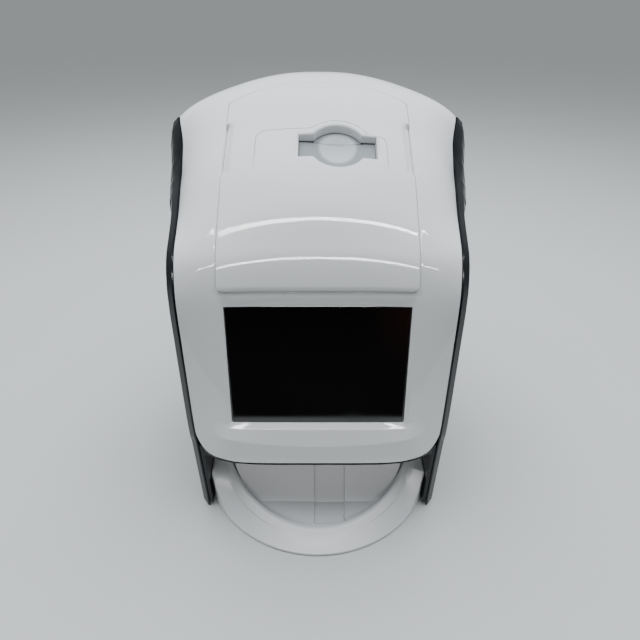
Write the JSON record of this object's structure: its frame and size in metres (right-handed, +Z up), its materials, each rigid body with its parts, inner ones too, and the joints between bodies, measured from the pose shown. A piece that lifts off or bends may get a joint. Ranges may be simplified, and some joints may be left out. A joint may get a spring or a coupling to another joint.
{
  "type": "phosphor plate scanner",
  "caption": "Tabletop dental imaging-plate scanner: curved white hood with an entry slot in a lift-off cover, a front touch screen, dark side panels and a sliding round output tray",
  "frame": {"origin": "on the table, at the middle of the outline seen from above", "axes": "X to the right, Y to the back, Z up; the screen and the tray face -Y"},
  "size_m": [0.1772, 0.2006, 0.2457],
  "materials": {
    "white_gloss_plastic": "moulded, glossy",
    "light_grey_plastic": "moulded, satin",
    "black_gloss_plastic": "moulded, glossy black",
    "dark_satin_plastic": "moulded, fine grain",
    "screen_glass": "polished, black behind",
    "black_rubber": "matt",
    "steel": "brushed, zinc plated",
    "acetal": "moulded, satin",
    "mirror_aluminium": "polished facets",
    "circuit_board": "solder mask",
    "light_guide": "clear acrylic"
  },
  "bodies": {
    "body": {"hood_shell": "white_gloss_plastic", "entry_bezel": "white_gloss_plastic", "scoop_floor": "light_grey_plastic", "chin_strip": "black_gloss_plastic", "side_panel_right": "black_gloss_plastic", "side_panel_left": "black_gloss_plastic", "grip_pad_right": "white_gloss_plastic", "grip_pad_left": "white_gloss_plastic", "rear_cover": "dark_satin_plastic", "base_plate": "dark_satin_plastic", "foot_front_left": "black_rubber", "foot_front_right": "black_rubber", "foot_rear_left": "black_rubber", "foot_rear_right": "black_rubber", "bay_wall_left": "black_gloss_plastic", "bay_wall_right": "black_gloss_plastic", "exit_wall": "white_gloss_plastic", "screen_glass": "screen_glass", "screen_gasket": "black_rubber", "display_module": "steel", "display_board": "circuit_board", "chassis_plate_left": "steel", "chassis_plate_right": "steel", "tie_rod_1": "steel", "tie_rod_2": "steel", "guide_front": "steel", "guide_rear": "steel", "drive_motor": "steel", "optics_shelf": "dark_satin_plastic", "scan_motor": "dark_satin_plastic", "laser_module": "steel", "light_tube": "dark_satin_plastic", "light_guide": "light_guide", "eraser_board": "circuit_board", "main_board": "circuit_board", "network_socket": "steel", "power_inlet": "dark_satin_plastic", "rocker_housing": "dark_satin_plastic"},
    "cover": {"top_cover": "white_gloss_plastic"},
    "shutter": {"entry_shutter": "light_grey_plastic"},
    "tray": {"output_tray": "white_gloss_plastic"},
    "rocker": {"power_rocker": "black_gloss_plastic"},
    "drive_1": {"drive_shaft_1": "steel", "drive_roller_1": "black_rubber", "drive_gear_1": "acetal"},
    "drive_2": {"drive_shaft_2": "steel", "drive_roller_2": "black_rubber", "drive_gear_2": "acetal"},
    "drive_3": {"drive_shaft_3": "steel", "drive_roller_3": "black_rubber", "drive_gear_3": "acetal"},
    "idler_1": {"idler_gear_1": "acetal"},
    "idler_2": {"idler_gear_2": "acetal"},
    "pinch_1": {"pinch_roller_1": "black_rubber"},
    "pinch_2": {"pinch_roller_2": "black_rubber"},
    "pinch_3": {"pinch_roller_3": "black_rubber"},
    "pinion": {"motor_pinion": "acetal"},
    "mirror": {"polygon_mirror": "mirror_aluminium"}
  },
  "joints": [
    {"name": "cover_lift", "type": "slide", "parent": "body", "child": "cover", "axis": [0.0457, -0.4627, 0.8853], "range_m": [0, 0.045]},
    {"name": "shutter_swing", "type": "hinge", "parent": "body", "child": "shutter", "pos_m": [0.01032, 0.00426, 0.21805], "axis": [0.999, 0.0212, -0.0405], "range_deg": [0, 35], "stiffness_Nm_per_rad": 0.0015, "springref_deg": -20.05},
    {"name": "tray_slide", "type": "slide", "parent": "body", "child": "tray", "axis": [0, -1, 0], "range_m": [0, 0.06]},
    {"name": "rocker_tilt", "type": "hinge", "parent": "body", "child": "rocker", "pos_m": [-0.01949, 0.09265, 0.0235], "axis": [0, 0, 1], "range_deg": [0, 16]},
    {"name": "drive_1_spin", "type": "hinge", "parent": "body", "child": "drive_1", "pos_m": [0.0106, -0.00481, 0.18778], "axis": [1, 0, 0], "continuous": true},
    {"name": "drive_2_spin", "type": "hinge", "parent": "body", "child": "drive_2", "pos_m": [0.0106, -0.0138, 0.14881], "axis": [1, 0, 0], "continuous": true},
    {"name": "drive_3_spin", "type": "hinge", "parent": "body", "child": "drive_3", "pos_m": [0.0106, -0.0228, 0.10983], "axis": [1, 0, 0], "continuous": true},
    {"name": "idler_1_spin", "type": "hinge", "parent": "body", "child": "idler_1", "pos_m": [0.0439, -0.0093, 0.16829], "axis": [1, 0, 0], "continuous": true},
    {"name": "idler_2_spin", "type": "hinge", "parent": "body", "child": "idler_2", "pos_m": [0.0439, -0.0183, 0.12932], "axis": [1, 0, 0], "continuous": true},
    {"name": "pinch_1_spin", "type": "hinge", "parent": "body", "child": "pinch_1", "pos_m": [0.0106, -0.0166, 0.1905], "axis": [1, 0, 0], "continuous": true},
    {"name": "pinch_2_spin", "type": "hinge", "parent": "body", "child": "pinch_2", "pos_m": [0.0106, -0.02559, 0.15153], "axis": [1, 0, 0], "continuous": true},
    {"name": "pinch_3_spin", "type": "hinge", "parent": "body", "child": "pinch_3", "pos_m": [0.0106, -0.03459, 0.11255], "axis": [1, 0, 0], "continuous": true},
    {"name": "pinion_spin", "type": "hinge", "parent": "body", "child": "pinion", "pos_m": [0.0439, -0.01317, 0.09705], "axis": [1, 0, 0], "continuous": true},
    {"name": "mirror_spin", "type": "hinge", "parent": "body", "child": "mirror", "pos_m": [0.0186, 0.02483, 0.11967], "axis": [0, 0.225, 0.9744], "continuous": true}
  ],
  "couplings": [
    {"joint": "drive_2_spin", "follows": "drive_1_spin", "ratio": 1},
    {"joint": "drive_3_spin", "follows": "drive_1_spin", "ratio": 1},
    {"joint": "idler_1_spin", "follows": "drive_1_spin", "ratio": -1},
    {"joint": "idler_2_spin", "follows": "drive_1_spin", "ratio": -1},
    {"joint": "pinch_1_spin", "follows": "drive_1_spin", "ratio": -1.3},
    {"joint": "pinch_2_spin", "follows": "drive_1_spin", "ratio": -1.3},
    {"joint": "pinch_3_spin", "follows": "drive_1_spin", "ratio": -1.3},
    {"joint": "pinion_spin", "follows": "drive_1_spin", "ratio": -1.6667}
  ]
}
